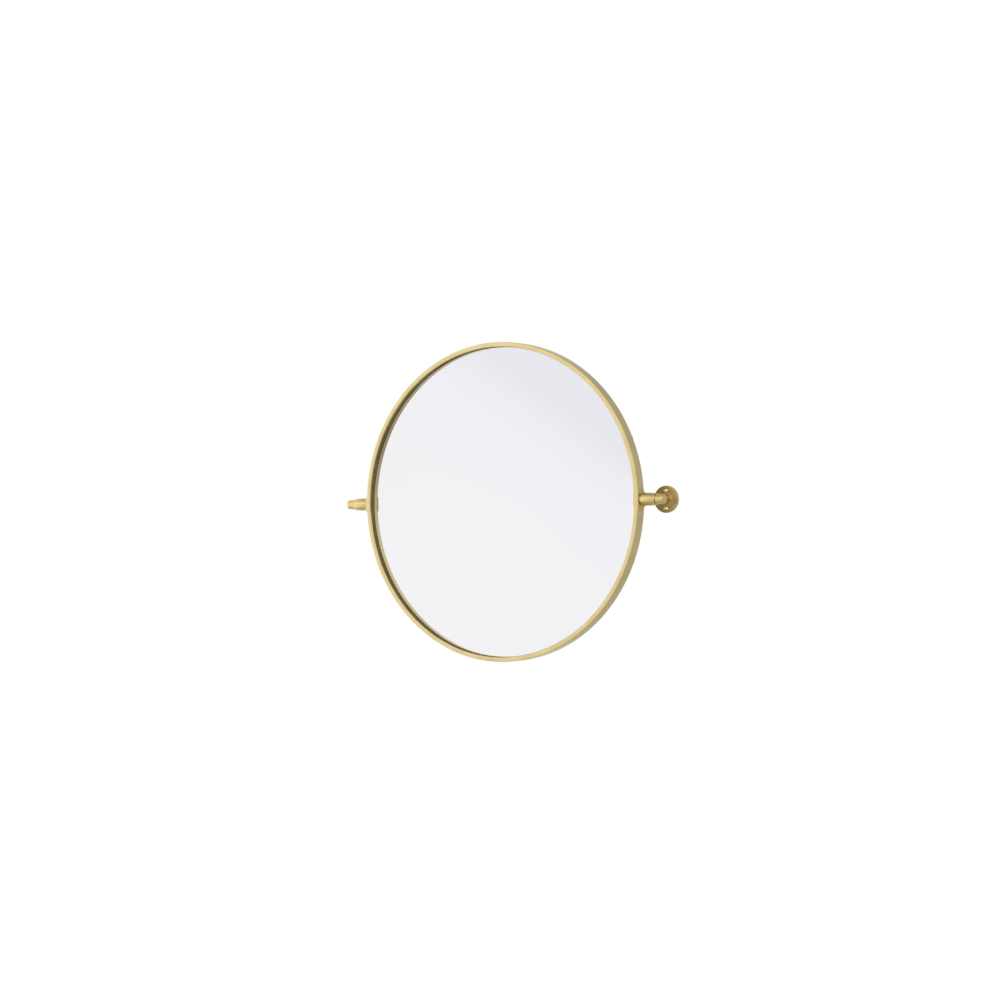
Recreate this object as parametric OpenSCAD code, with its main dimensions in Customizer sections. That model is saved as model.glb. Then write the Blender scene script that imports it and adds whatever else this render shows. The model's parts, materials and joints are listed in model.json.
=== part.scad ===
// Round pivot wall mirror: a brass ring with a recessed mirror glass, tilting between two wall brackets.
//
// Frame: X to the right, Y towards the wall, Z up. The wall is the plane y = 0, and the origin is the
// middle of the four wall screw holes. The tilt axis runs along X, in front of the wall by the stand-off.

/* [Frame ring] */
// Outer diameter of the frame ring
mirror_d = 610; // [400:1:900]
// Width of the frame's front face
face_w = 9; // [8:0.5:14]
// Width of the lip that overhangs the glass at the front
lip_w = 2.5; // [2:0.1:3]
// Rounding of the frame's long edges
frame_edge_r = 1.2; // [0.4:0.1:1.6]
// Rounding of the frame's inner front edge
inner_edge_r = 2; // [1.6:0.1:2.5]

/* [Glass and backing] */
// Depth of the glass behind the frame's front face
glass_recess = 13; // [8:0.25:14]
// Thickness of the mirror glass
glass_t = 4; // [3:0.5:5]
// Thickness of the foam gasket between the lip and the glass
gasket_t = 0.8; // [0.4:0.1:1]
// Thickness of the backing board
board_t = 5; // [4:0.5:8]
// Depth of the board's back inside the frame's back
back_recess = 3; // [2:0.25:4]
// Gap round the glass and the board
pane_gap = 0.5; // [0.3:0.1:1]

/* [Back clips] */
// Number of clips that hold the board
clip_count = 8; // [6:2:12]
// Width of a clip
clip_w = 10; // [8:0.5:14]
// Sheet thickness of a clip
clip_t = 1.2; // [1:0.1:1.5]
// Length of the clip's foot on the board
clip_foot = 11; // [8:0.5:16]
// Diameter of the small screws in the frame's back
screw_d = 3; // [2.5:0.1:3]
// Length of the small screws' shanks
screw_len = 7; // [5:0.5:8]

/* [Saddles] */
// Height of the saddle that grips the frame at the pivot
saddle_h = 28; // [25:0.5:36]
// Thickness of the saddle's front and back legs
saddle_leg = 1.8; // [1.7:0.1:3]
// Thickness of the saddle's outer web
saddle_web = 1.5; // [1.2:0.1:4]
// Spacing of the two screws in a saddle's back leg
saddle_screw_gap = 16; // [12:0.5:17]

/* [Pivot] */
// Distance of the tilt axis behind the frame's front face
axis_depth = 11.5; // [11:0.25:14]
// Diameter of the hub at its middle, where it is widest
hub_mid_d = 24; // [23:0.1:25]
// Diameter of the hub at its two ends
hub_end_d = 21.8; // [21:0.1:22.5]
// Length of the hub along the tilt axis
hub_len = 31; // [27:0.5:44]
// Diameter of the pivot stud's shoulder
stud_d = 10; // [9:0.1:10]
// Diameter of the stud's threaded root in the frame
root_d = 8; // [6:0.1:8]
// Diameter of the stud's thread in the knob
thread_d = 6; // [5:0.1:8]
// Length of the stud's thread in the knob
thread_len = 11; // [8:0.5:12]
// Outer diameter of the bushes in the hub
bush_d = 12; // [11.8:0.1:13]
// Length of each bush
bush_len = 10; // [6:0.5:12]
// Thickness of the friction washer between the saddle and the hub
friction_t = 1; // [0.5:0.1:2]
// Diameter of the friction washer
friction_d = 19; // [16:0.5:20]
// Diameter of the coned spring washer
spring_d = 16; // [14:0.1:16.5]
// Sheet thickness of the spring washer
spring_t = 0.7; // [0.5:0.1:0.9]
// Height of the spring washer's cone
spring_cone = 0.5; // [0.3:0.1:0.6]

/* [Knobs] */
// Length of a clamping knob
knob_len = 16; // [14:0.5:24]
// Diameter of the knob beside the hub
knob_base_d = 19; // [18:0.1:20]
// Diameter of the knob at its outer end
knob_tip_d = 17.6; // [15:0.1:18]

/* [Wall brackets] */
// Distance from the wall to the tilt axis
standoff = 68; // [50:1:110]
// Diameter of the post
post_d = 14; // [12:0.5:15]
// Diameter of the wall flange
flange_d = 51; // [50:0.5:64]
// Thickness of the wall flange
flange_t = 4; // [3.5:0.1:6]
// Diameter of the boss round the post
boss_d = 25; // [22:0.5:25]
// Height of the boss on the flange
boss_h = 1.5; // [1.2:0.1:4]
// Width of the shadow groove round the foot of the post
post_groove = 1.5; // [0.5:0.1:2.5]
// Diameter of a wall screw hole
wall_hole_d = 4.5; // [4:0.1:5]
// Diameter of the countersink of a wall screw hole
wall_sink_d = 8.5; // [7.5:0.1:8.5]
// Spacing of the two screw holes in a flange
wall_hole_gap = 34; // [34:0.5:37]
// Diameter of the screw that holds the post to the flange
post_screw_d = 6; // [5:0.1:6]
// Length of that screw in the post
post_screw_grip = 10; // [8:0.5:16]

/* [Hidden] */

BRASS = [0.85, 0.76, 0.52];
BRASS_DARK = [0.74, 0.64, 0.38];
STEEL = [0.72, 0.73, 0.75];
SILVERED = [0.93, 0.94, 0.96];
BOARD = [0.30, 0.24, 0.19];
FOAM = [0.12, 0.12, 0.12];
NYLON = [0.88, 0.87, 0.82];

// Clearance of a turning or threaded piece in its hole, on the radius
fit = 0.05;
// Gap between flat faces that slide past each other
face_gap = 0.05;
// How far a cutting solid runs past the surface that it cuts
over = 1;
// Bevel of small turned edges
bevel = 0.5;
// Rounding of the knob's and the flange's outer rims
rim_r = 1;
// Metal left between a blind hole and what lies behind it
floor_t = 1.2;
// Depth of the groove in the boss that the post stands in
seat_depth = 1;

// Frame ring, measured from the wall
ring_r = mirror_d / 2;
opening_r = ring_r - face_w;
pocket_r = opening_r + lip_w;
frame_depth = glass_recess + glass_t + board_t + back_recess;
front_y = -standoff - axis_depth;
back_y = front_y + frame_depth;
glass_y = front_y + glass_recess;
board_y = glass_y + glass_t;
board_back_y = board_y + board_t;
pane_r = pocket_r - pane_gap;

// Small screws in the back of the frame's pocket wall
screw_ring_r = (ring_r + pocket_r) / 2;
screw_head_d = screw_d * 1.8;
screw_head_h = screw_d * 0.6;

// Places along the tilt axis, from the middle of the mirror
saddle_x = ring_r + saddle_web;
hub_x = saddle_x + friction_t;
knob_x = hub_x + hub_len + face_gap * 6;
post_x = hub_x + hub_len / 2;

// Hub, whose side is one arc from end to end
hub_mid_r = hub_mid_d / 2;
hub_end_r = hub_end_d / 2;
hub_rise = hub_mid_r - hub_end_r;
hub_swell_r = ((hub_len / 2) ^ 2 + hub_rise ^ 2) / (2 * hub_rise);
spring_pocket = spring_t + spring_cone + face_gap;
spigot_d = root_d;
spigot_end = bush_d / 2 + floor_t;

// Flange
boss_top = flange_t + boss_h;
post_seat = boss_top - seat_depth;
post_sink_d = post_screw_d * 2;
post_sink_h = (post_sink_d - post_screw_d) / 2;

small_fn = 64;
big_fn = 240;

// Shapes that repeat

// Puts a shape turned about +Z onto the tilt axis, starting at x
module along_axis(x = 0) {
    translate([x, -standoff, 0]) rotate([0, 90, 0]) children();
}

// Turns a shape about +Z so that it stands on the wall side of the plane y and points to the front
module to_front(x = 0, y = 0, z = 0) {
    translate([x, y, z]) rotate([90, 0, 0]) children();
}

// The right-hand piece, mirrored to the left-hand side
module on_left() {
    mirror([1, 0, 0]) children();
}

// Disc or ring with its axis along Y, from y0 to y1
module disc(r, y0, y1, hole_r = 0) {
    to_front(0, y1) difference() {
        cylinder(r = r, h = y1 - y0, $fn = big_fn);
        if (hole_r > 0) translate([0, 0, -over]) cylinder(r = hole_r, h = y1 - y0 + 2 * over, $fn = big_fn);
    }
}

// Rectangle from corner a to corner b with every corner rounded by r
module rounded_rectangle(a, b, r) {
    translate([a[0] + r, a[1]]) square([b[0] - a[0] - 2 * r, b[1] - a[1]]);
    translate([a[0], a[1] + r]) square([b[0] - a[0], b[1] - a[1] - 2 * r]);
    for (x = [a[0] + r, b[0] - r], y = [a[1] + r, b[1] - r])
        translate([x, y]) circle(r = r, $fn = small_fn);
}

// Plain tube about +Z
module tube(outer_r, inner_r, h) {
    difference() {
        cylinder(r = outer_r, h = h, $fn = small_fn);
        translate([0, 0, -over]) cylinder(r = inner_r, h = h + 2 * over, $fn = small_fn);
    }
}

// Places its children at each clip, turned so that +X points outwards from the mirror's centre
module at_clips() {
    for (i = [0 : clip_count - 1])
        rotate([0, (i + 0.5) * 360 / clip_count, 0]) children();
}

// Places its children at both screws in the back leg of the right-hand saddle
module at_saddle_screws() {
    for (side = [-1, 1])
        translate([screw_ring_r, 0, side * saddle_screw_gap / 2]) children();
}

// Hole for a small screw, from the plane y forwards into the frame
module screw_hole(y) {
    to_front(0, y + over) cylinder(d = screw_d + 2 * fit, h = screw_len + 2 * over, $fn = small_fn);
}

// Frame ring

// Section of the ring: x is the radius, y the depth from the front face
module ring_section() {
    difference() {
        rounded_rectangle([opening_r, 0], [ring_r, frame_depth], frame_edge_r);
        difference() {
            translate([opening_r - over, -over]) square(inner_edge_r + over);
            translate([opening_r + inner_edge_r, inner_edge_r]) circle(r = inner_edge_r, $fn = small_fn);
        }
        translate([opening_r - over, glass_recess - gasket_t])
            square([lip_w + over, frame_depth - glass_recess + gasket_t + over]);
    }
}

module mirror_frame() {
    color(BRASS) difference() {
        translate([0, back_y, 0]) rotate([90, 0, 0]) translate([0, 0, frame_depth]) mirror([0, 0, 1])
            rotate_extrude($fn = big_fn) ring_section();
        at_clips() translate([screw_ring_r, 0, 0]) screw_hole(back_y);
        for (side = [0, 1]) mirror([side, 0, 0]) {
            along_axis(pocket_r) cylinder(d = root_d + 2 * fit, h = ring_r - pocket_r + over, $fn = small_fn);
            at_saddle_screws() screw_hole(back_y);
        }
    }
}

module glass_gasket() {
    color(FOAM) disc(pane_r, glass_y - gasket_t, glass_y, opening_r + pane_gap);
}

module mirror_glass() {
    color(SILVERED) disc(pane_r, glass_y, board_y);
}

module backing_board() {
    color(BOARD) disc(pane_r, board_y, board_back_y);
}

// Clips and their screws

// One offset clip, its foot on the board and its head on the frame's back
module offset_clip() {
    step_x = pane_r - clip_t;
    head_end = ring_r - 1;
    difference() {
        union() {
            translate([step_x - clip_foot, board_back_y, -clip_w / 2]) cube([clip_foot + clip_t, clip_t, clip_w]);
            translate([step_x, board_back_y, -clip_w / 2]) cube([clip_t, back_recess + clip_t, clip_w]);
            translate([step_x, back_y, -clip_w / 2]) cube([head_end - step_x, clip_t, clip_w]);
        }
        translate([screw_ring_r, 0, 0]) screw_hole(back_y + clip_t);
    }
}

module offset_clips() {
    color(STEEL) at_clips() offset_clip();
}

// Pan-head screw whose shank points to the front from the plane y, with a cross recess in its head
module pan_screw(y) {
    difference() {
        union() {
            to_front(0, y) cylinder(d = screw_d, h = screw_len, $fn = small_fn);
            to_front(0, y + screw_head_h) cylinder(d1 = screw_head_d * 0.7, d2 = screw_head_d,
                h = screw_head_h, $fn = small_fn);
        }
        for (turn = [0, 90]) rotate([0, turn, 0])
            translate([-screw_d / 2, y + screw_head_h / 2, -screw_d / 12]) cube([screw_d, screw_head_h, screw_d / 6]);
    }
}

module clip_screws() {
    color(STEEL) at_clips() translate([screw_ring_r, 0, 0]) pan_screw(back_y + clip_t);
}

// Saddles, which grip the frame at the pivots

module saddle() {
    color(BRASS) difference() {
        translate([0, 0, -saddle_h / 2]) linear_extrude(height = saddle_h)
            rounded_rectangle([opening_r - over, front_y - saddle_leg], [saddle_x, back_y + saddle_leg],
                frame_edge_r * 0.8);
        disc(ring_r, front_y, back_y);
        disc(opening_r, front_y - saddle_leg - over, front_y + over);
        disc(pocket_r, back_y - over, back_y + saddle_leg + over);
        along_axis(ring_r - over) cylinder(d = root_d + 2 * fit, h = saddle_web + 2 * over, $fn = small_fn);
        at_saddle_screws() {
            screw_hole(back_y + saddle_leg);
            to_front(0, back_y + saddle_leg) cylinder(d1 = screw_head_d + 2 * fit, d2 = screw_d + 2 * fit,
                h = (screw_head_d - screw_d) / 2, $fn = small_fn);
        }
    }
}

// Countersunk screw whose head lies flush in the plane y, with a cross recess
module flush_screw(y) {
    difference() {
        union() {
            to_front(0, y) cylinder(d = screw_d, h = screw_len, $fn = small_fn);
            to_front(0, y) cylinder(d1 = screw_head_d, d2 = screw_d, h = (screw_head_d - screw_d) / 2, $fn = small_fn);
        }
        for (turn = [0, 90]) rotate([0, turn, 0])
            translate([-screw_d / 2, y - screw_d / 4, -screw_d / 12]) cube([screw_d, screw_d, screw_d / 6]);
    }
}

module saddle_screws() {
    color(BRASS_DARK) at_saddle_screws() flush_screw(back_y + saddle_leg);
}

// Pivot

// Shouldered stud: threaded root in the frame, plain shoulder in the hub, thread in the knob
module pivot_stud() {
    root_x = pocket_r + pane_gap / 2;
    shoulder_len = friction_t + hub_len;
    color(STEEL) {
        along_axis(root_x) cylinder(d = root_d, h = saddle_x - root_x, $fn = small_fn);
        along_axis(saddle_x) cylinder(d = stud_d, h = shoulder_len, $fn = small_fn);
        along_axis(saddle_x + shoulder_len) cylinder(d = thread_d, h = thread_len - bevel, $fn = small_fn);
        along_axis(saddle_x + shoulder_len + thread_len - bevel)
            cylinder(d1 = thread_d, d2 = thread_d - 2 * bevel, h = bevel, $fn = small_fn);
    }
}

module friction_washer() {
    color(NYLON) along_axis(saddle_x) tube(friction_d / 2, stud_d / 2 + fit, friction_t - face_gap);
}

// Half section of the hub: an arc that swells to the middle, beveled at both ends
module hub_section(grow = 0) {
    side_r = hub_mid_r + bevel + grow;
    bevel_z = side_r - hub_end_r + bevel;
    intersection() {
        translate([hub_mid_r - hub_swell_r, hub_len / 2]) circle(r = hub_swell_r + grow, $fn = big_fn * 3);
        polygon([[0, 0], [hub_end_r - bevel, 0], [side_r, bevel_z], [side_r, hub_len - bevel_z],
            [hub_end_r - bevel, hub_len], [0, hub_len]]);
    }
}

module hub() {
    color(BRASS) difference() {
        along_axis(hub_x) rotate_extrude($fn = small_fn * 2) hub_section();
        along_axis(hub_x - over) cylinder(d = bush_d, h = hub_len + 2 * over, $fn = small_fn);
        along_axis(hub_x + hub_len - spring_pocket) cylinder(d = spring_d + 4 * fit, h = spring_pocket + over,
            $fn = small_fn);
        to_front(post_x, -standoff + hub_mid_r + over)
            cylinder(d = spigot_d + 2 * fit, h = hub_mid_r + over - spigot_end, $fn = small_fn);
    }
}

module bushes() {
    color(NYLON) for (x = [hub_x, hub_x + hub_len - spring_pocket - bush_len])
        along_axis(x) tube(bush_d / 2 - fit / 2, stud_d / 2 + fit, bush_len);
}

// Coned spring washer in the hub's outer pocket, its wide rim against the knob
module spring_washer() {
    inner_r = stud_d / 2 + 2 * fit;
    outer_r = spring_d / 2;
    color(STEEL) along_axis(hub_x + hub_len - spring_pocket) rotate_extrude($fn = small_fn)
        polygon([[inner_r, 0], [outer_r, spring_cone], [outer_r, spring_cone + spring_t], [inner_r, spring_t]]);
}

// Tapered knob with a rounded outer rim and a blind threaded hole
module knob() {
    base_r = knob_base_d / 2;
    tip_r = knob_tip_d / 2;
    color(BRASS) difference() {
        along_axis(knob_x) rotate_extrude($fn = small_fn * 2) {
            polygon([[0, 0], [base_r - bevel, 0], [base_r, bevel], [tip_r, knob_len - rim_r],
                [tip_r - rim_r, knob_len - rim_r], [tip_r - rim_r, knob_len], [0, knob_len]]);
            translate([tip_r - rim_r, knob_len - rim_r]) circle(r = rim_r, $fn = small_fn);
        }
        along_axis(knob_x - over) cylinder(d = thread_d + 2 * fit, h = thread_len + 2 * over, $fn = small_fn);
    }
}

// Wall brackets

// Post, coped to the hub at the front and seated in the boss at the back
module post() {
    color(BRASS) difference() {
        union() {
            difference() {
                to_front(post_x, -post_seat) cylinder(d = post_d, h = standoff - post_seat, $fn = small_fn);
                along_axis(hub_x) rotate_extrude($fn = small_fn * 2) hub_section(fit);
            }
            to_front(post_x, -standoff + hub_mid_r + over)
                cylinder(d = spigot_d, h = hub_mid_r + over - spigot_end - fit, $fn = small_fn);
        }
        to_front(post_x, -post_seat + over)
            cylinder(d = post_screw_d + 2 * fit, h = post_screw_grip + 2 * over, $fn = small_fn);
    }
}

// Half section of the flange with its boss: x is the radius, y the height above the wall
module flange_section() {
    flange_r = flange_d / 2;
    boss_r = boss_d / 2;
    square([flange_r - rim_r, flange_t]);
    square([flange_r, flange_t - rim_r]);
    translate([flange_r - rim_r, flange_t - rim_r]) circle(r = rim_r, $fn = small_fn);
    polygon([[0, 0], [boss_r, 0], [boss_r, boss_top - bevel], [boss_r - bevel, boss_top], [0, boss_top]]);
}

module flange() {
    color(BRASS) difference() {
        to_front(post_x) rotate_extrude($fn = small_fn * 2) flange_section();
        to_front(post_x, -post_seat) cylinder(d = post_d + 2 * post_groove, h = seat_depth + over, $fn = small_fn);
        to_front(post_x, over) cylinder(d = post_screw_d + 4 * fit, h = boss_top + 2 * over, $fn = small_fn);
        to_front(post_x) cylinder(d1 = post_sink_d + 4 * fit, d2 = post_screw_d + 4 * fit, h = post_sink_h,
            $fn = small_fn);
        for (side = [-1, 1]) {
            z = side * wall_hole_gap / 2;
            sink_h = (wall_sink_d - wall_hole_d) / 2;
            to_front(post_x, over, z) cylinder(d = wall_hole_d, h = flange_t + 2 * over, $fn = small_fn);
            to_front(post_x, sink_h - flange_t, z) cylinder(d1 = wall_hole_d, d2 = wall_sink_d, h = sink_h,
                $fn = small_fn);
        }
    }
}

// Countersunk screw from the back of the flange into the post
module post_screw() {
    color(STEEL) difference() {
        union() {
            to_front(post_x) cylinder(d = post_screw_d, h = post_seat + post_screw_grip, $fn = small_fn);
            to_front(post_x) cylinder(d1 = post_sink_d, d2 = post_screw_d, h = post_sink_h, $fn = small_fn);
        }
        to_front(post_x, over) cylinder(d = post_screw_d * 0.6, h = over + post_sink_h * 0.7, $fn = 6);
    }
}

mirror_frame();
glass_gasket();
mirror_glass();
backing_board();
offset_clips();
clip_screws();
on_left() saddle();  // left_saddle
saddle();  // right_saddle
on_left() saddle_screws();  // left_saddle_screws
saddle_screws();  // right_saddle_screws
on_left() pivot_stud();  // left_pivot_stud
pivot_stud();  // right_pivot_stud
on_left() friction_washer();  // left_friction_washer
friction_washer();  // right_friction_washer
on_left() hub();  // left_hub
hub();  // right_hub
on_left() bushes();  // left_bushes
bushes();  // right_bushes
on_left() spring_washer();  // left_spring_washer
spring_washer();  // right_spring_washer
on_left() knob();  // left_knob
knob();  // right_knob
on_left() post();  // left_post
post();  // right_post
on_left() flange();  // left_flange
flange();  // right_flange
on_left() post_screw();  // left_post_screw
post_screw();  // right_post_screw
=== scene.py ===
"""Looks of a round pivot wall mirror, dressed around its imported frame.

The brass that shows is turned, milled and drilled here as fine meshes, and each one stands for the frame's
node of the same sort. Every length is in metres, in the frame's own axes: X to the right along the tilt axis,
Y into the wall, Z up. The wall is the plane y = 0, and the origin is the middle of the four wall screw holes.
"""

from __future__ import annotations

import json
import logging
import math
from collections.abc import Callable, Iterable, Mapping, Sequence
from dataclasses import dataclass
from enum import Enum
from itertools import pairwise
from typing import Any

import bpy
from mathutils import Matrix, Vector

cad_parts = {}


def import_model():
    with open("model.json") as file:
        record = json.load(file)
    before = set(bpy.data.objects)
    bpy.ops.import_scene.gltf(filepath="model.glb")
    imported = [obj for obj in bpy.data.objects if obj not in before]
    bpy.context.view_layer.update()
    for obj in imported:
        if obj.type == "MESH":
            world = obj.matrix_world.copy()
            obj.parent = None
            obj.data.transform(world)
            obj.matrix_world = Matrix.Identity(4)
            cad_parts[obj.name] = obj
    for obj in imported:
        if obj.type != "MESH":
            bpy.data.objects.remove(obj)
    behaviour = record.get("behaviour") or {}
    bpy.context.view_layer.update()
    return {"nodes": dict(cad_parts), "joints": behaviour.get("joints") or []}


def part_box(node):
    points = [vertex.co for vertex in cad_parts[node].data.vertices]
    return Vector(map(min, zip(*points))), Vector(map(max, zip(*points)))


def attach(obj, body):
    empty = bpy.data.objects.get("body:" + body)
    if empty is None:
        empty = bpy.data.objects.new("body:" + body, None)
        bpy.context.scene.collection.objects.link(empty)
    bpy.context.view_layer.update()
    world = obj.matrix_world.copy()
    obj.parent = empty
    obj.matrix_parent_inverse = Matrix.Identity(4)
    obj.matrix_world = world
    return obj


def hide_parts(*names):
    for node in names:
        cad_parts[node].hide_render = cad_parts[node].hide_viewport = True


logging.basicConfig(level=logging.INFO, format="%(levelname)s %(message)s")
log = logging.getLogger("pivot_mirror")

MM = 0.001

# How far a cutter reaches past the faces that it cuts, so that no skin is left
CUT_OVERRUN = 1 * MM
# Cosine above which two directions count as parallel
PARALLEL = 0.999
# Angle in degrees from which an edge counts as sharp and is broken
SHARP = 50.0
# Nearly all values of a noise texture lie between these two
NOISE_LOW = 0.3
NOISE_HIGH = 0.7
# How strongly a piece's broad faces rule its normals, where 50 is even
BROAD_FACE_WEIGHT = 60

RIGHTWARD = Vector((1, 0, 0))
INTO_WALL = Vector((0, 1, 0))
UP = Vector((0, 0, 1))

Outline = list[tuple[float, float]]
Colour = tuple[float, float, float, float]

WHITE: Colour = (1.0, 1.0, 1.0, 1.0)


class Side(Enum):
    """The two ends of the tilt axis, by the words that the frame's nodes use."""

    LEFT = "left"
    RIGHT = "right"


class Grain(Enum):
    """Which way the polisher's marks run on a brass piece."""

    ROUND_THE_MIRROR = "circles about the middle of the mirror"
    ROUND_THE_TILT_AXIS = "circles about the tilt axis"
    ROUND_THE_POST = "circles about a bracket's post"
    UPRIGHT = "straight lines up and down"


# Bench work: picking, sawing, turning, drilling and copying


def clear_bench() -> None:
    """Deselect everything, so that the next operator acts only on what it adds."""
    bpy.ops.object.select_all(action="DESELECT")
    bpy.context.view_layer.objects.active = None


def pick(piece: bpy.types.Object) -> None:
    """Make one piece the only selected one, and the active one.

    Args:
        piece: The piece to pick.
    """
    clear_bench()
    piece.select_set(True)
    bpy.context.view_layer.objects.active = piece


def settle(piece: bpy.types.Object) -> None:
    """Put a piece's place, turn and size into its mesh, so that its object sits at the origin.

    Args:
        piece: The piece to settle.
    """
    pick(piece)
    bpy.ops.object.transform_apply(location=True, rotation=True, scale=True)


def apply_modifier(piece: bpy.types.Object, kind: str, **settings: Any) -> None:
    """Add a modifier to a piece with its settings and apply it at once.

    Args:
        piece: The piece to change.
        kind: Blender's name for the modifier's type.
        **settings: The modifier's properties and their values.
    """
    pick(piece)
    modifier = piece.modifiers.new(kind.title(), kind)
    for name, value in settings.items():
        setattr(modifier, name, value)
    bpy.ops.object.modifier_apply(modifier=modifier.name)


def close_seams(piece: bpy.types.Object, reach: float = 0.001 * MM) -> None:
    """Merge a spun or mirrored mesh's doubled points and turn its faces outwards.

    Args:
        piece: The piece to close.
        reach: Distance within which two points are one.
    """
    pick(piece)
    bpy.ops.object.mode_set(mode="EDIT")
    bpy.ops.mesh.select_all(action="SELECT")
    bpy.ops.mesh.remove_doubles(threshold=reach)
    bpy.ops.mesh.normals_make_consistent(inside=False)
    bpy.ops.object.mode_set(mode="OBJECT")


def cut(piece: bpy.types.Object, cutter: bpy.types.Object) -> None:
    """Take a cutter's solid out of a piece and throw the cutter away.

    Args:
        piece: The piece to cut.
        cutter: The solid to take out of it.
    """
    apply_modifier(piece, "BOOLEAN", operation="DIFFERENCE", solver="EXACT", object=cutter)
    bpy.data.objects.remove(cutter, do_unlink=True)


def duplicate(piece: bpy.types.Object, name: str) -> bpy.types.Object:
    """Copy a piece, with a mesh of its own.

    Args:
        piece: The piece to copy.
        name: The copy's name.

    Returns:
        The copy.
    """
    pick(piece)
    bpy.ops.object.duplicate(linked=False)
    copy = bpy.context.view_layer.objects.active
    copy.name = name
    return copy


def mirrored_copy(piece: bpy.types.Object) -> bpy.types.Object:
    """Copy a right-hand piece to the left-hand side.

    Args:
        piece: The right-hand piece, before its normals are weighted.

    Returns:
        The left-hand piece, with its faces turned outwards.
    """
    copy = duplicate(piece, piece.name.replace(Side.RIGHT.value, Side.LEFT.value))
    copy.scale.x = -1
    settle(copy)
    close_seams(copy)
    return copy


def start_point(name: str, place: Vector) -> bpy.types.Object:
    """Start a piece as a single selected point, ready to be extruded.

    Args:
        name: The new piece's name.
        place: Where the point lies.

    Returns:
        The piece, in edit mode, its object at the origin.
    """
    clear_bench()
    bpy.ops.mesh.primitive_plane_add(size=MM, location=place)
    piece = bpy.context.view_layer.objects.active
    piece.name = name
    settle(piece)
    bpy.ops.object.mode_set(mode="EDIT")
    bpy.ops.mesh.select_mode(type="VERT")
    bpy.ops.mesh.select_all(action="SELECT")
    bpy.ops.mesh.merge(type="CENTER")
    return piece


def block(name: str, low: Vector, high: Vector) -> bpy.types.Object:
    """Saw a block out between two corners, ready to be shaped.

    Args:
        name: The block's name.
        low: Its lowest corner.
        high: Its highest corner.

    Returns:
        The block, its object at the origin.
    """
    clear_bench()
    bpy.ops.mesh.primitive_cube_add(size=1, location=(low + high) / 2, scale=high - low)
    piece = bpy.context.view_layer.objects.active
    piece.name = name
    settle(piece)
    return piece


def pick_out(piece: bpy.types.Object, kind: str, wanted: Callable[[Any], bool]) -> None:
    """Go into edit mode with only those points or edges selected that pass a test.

    Args:
        piece: The piece to edit.
        kind: VERT for points, EDGE for edges.
        wanted: The test.
    """
    pick(piece)
    bpy.ops.object.mode_set(mode="EDIT")
    bpy.ops.mesh.select_mode(type=kind)
    bpy.ops.mesh.select_all(action="DESELECT")
    bpy.ops.object.mode_set(mode="OBJECT")
    for element in piece.data.vertices if kind == "VERT" else piece.data.edges:
        element.select = wanted(element)
    bpy.ops.object.mode_set(mode="EDIT")


def round_edges_along(piece: bpy.types.Object, axis: Vector, radius: float, steps: int) -> None:
    """Round the edges of a block that run along one axis.

    Args:
        piece: The block.
        axis: Direction of the edges to round.
        radius: Radius of the rounding.
        steps: Number of steps in each rounding.
    """

    def runs_along(edge: bpy.types.MeshEdge) -> bool:
        """Tell whether an edge runs along the axis.

        Args:
            edge: An edge of the block.

        Returns:
            Whether it does.
        """
        start, end = (piece.data.vertices[i].co for i in edge.vertices)
        return abs((end - start).normalized().dot(axis)) > PARALLEL

    pick_out(piece, "EDGE", runs_along)
    bpy.ops.mesh.bevel(offset=radius, offset_type="OFFSET", segments=steps, affect="EDGES")
    bpy.ops.object.mode_set(mode="OBJECT")


def break_edges(piece: bpy.types.Object, width: float) -> None:
    """Break a piece's sharp edges, as a fine file does.

    Args:
        piece: The piece to file.
        width: Width that its edges are broken by.
    """
    apply_modifier(
        piece, "BEVEL", width=width, segments=2, limit_method="ANGLE", angle_limit=math.radians(SHARP)
    )


@dataclass(frozen=True)
class Corner:
    """One corner of a turned section.

    Attributes:
        radius: Distance from the spindle's axis.
        along: Place along the axis.
        rounding: Radius that the corner is rounded with.
    """

    radius: float
    along: float
    rounding: float = 0.0


def section(corners: Sequence[Corner], closed: bool, arc_steps: int = 8) -> Outline:
    """Turn corners into an outline whose rounded corners are arcs.

    Args:
        corners: The corners in order.
        closed: Whether the last corner joins the first.
        arc_steps: Number of straight steps in each arc.

    Returns:
        The outline's points, each a radius and a place along the axis.
    """
    points: Outline = []
    count = len(corners)
    for i, corner in enumerate(corners):
        here = Vector((corner.radius, corner.along))
        if corner.rounding <= 0:
            points.append((here.x, here.y))
            continue
        before, after = corners[i - 1], corners[(i + 1) % count]
        to_before = (Vector((before.radius, before.along)) - here).normalized()
        to_after = (Vector((after.radius, after.along)) - here).normalized()
        half = to_before.angle(to_after) / 2
        centre = here + (to_before + to_after).normalized() * (corner.rounding / math.sin(half))
        start = here + to_before * (corner.rounding / math.tan(half)) - centre
        end = here + to_after * (corner.rounding / math.tan(half)) - centre
        sweep = start.angle_signed(end)
        for step in range(arc_steps + 1):
            spoke = Matrix.Rotation(-sweep * step / arc_steps, 2) @ start
            points.append((centre.x + spoke.x, centre.y + spoke.y))
    if closed:
        points.append(points[0])
    return points


def rod(radius: float, start: float, end: float) -> Outline:
    """Lay out the half section of a plain rod or hole, from the axis out and back to it.

    Args:
        radius: Its radius.
        start: Place of its first end along the axis.
        end: Place of its other end.

    Returns:
        The outline's points.
    """
    return [(0.0, start), (radius, start), (radius, end), (0.0, end)]


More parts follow.
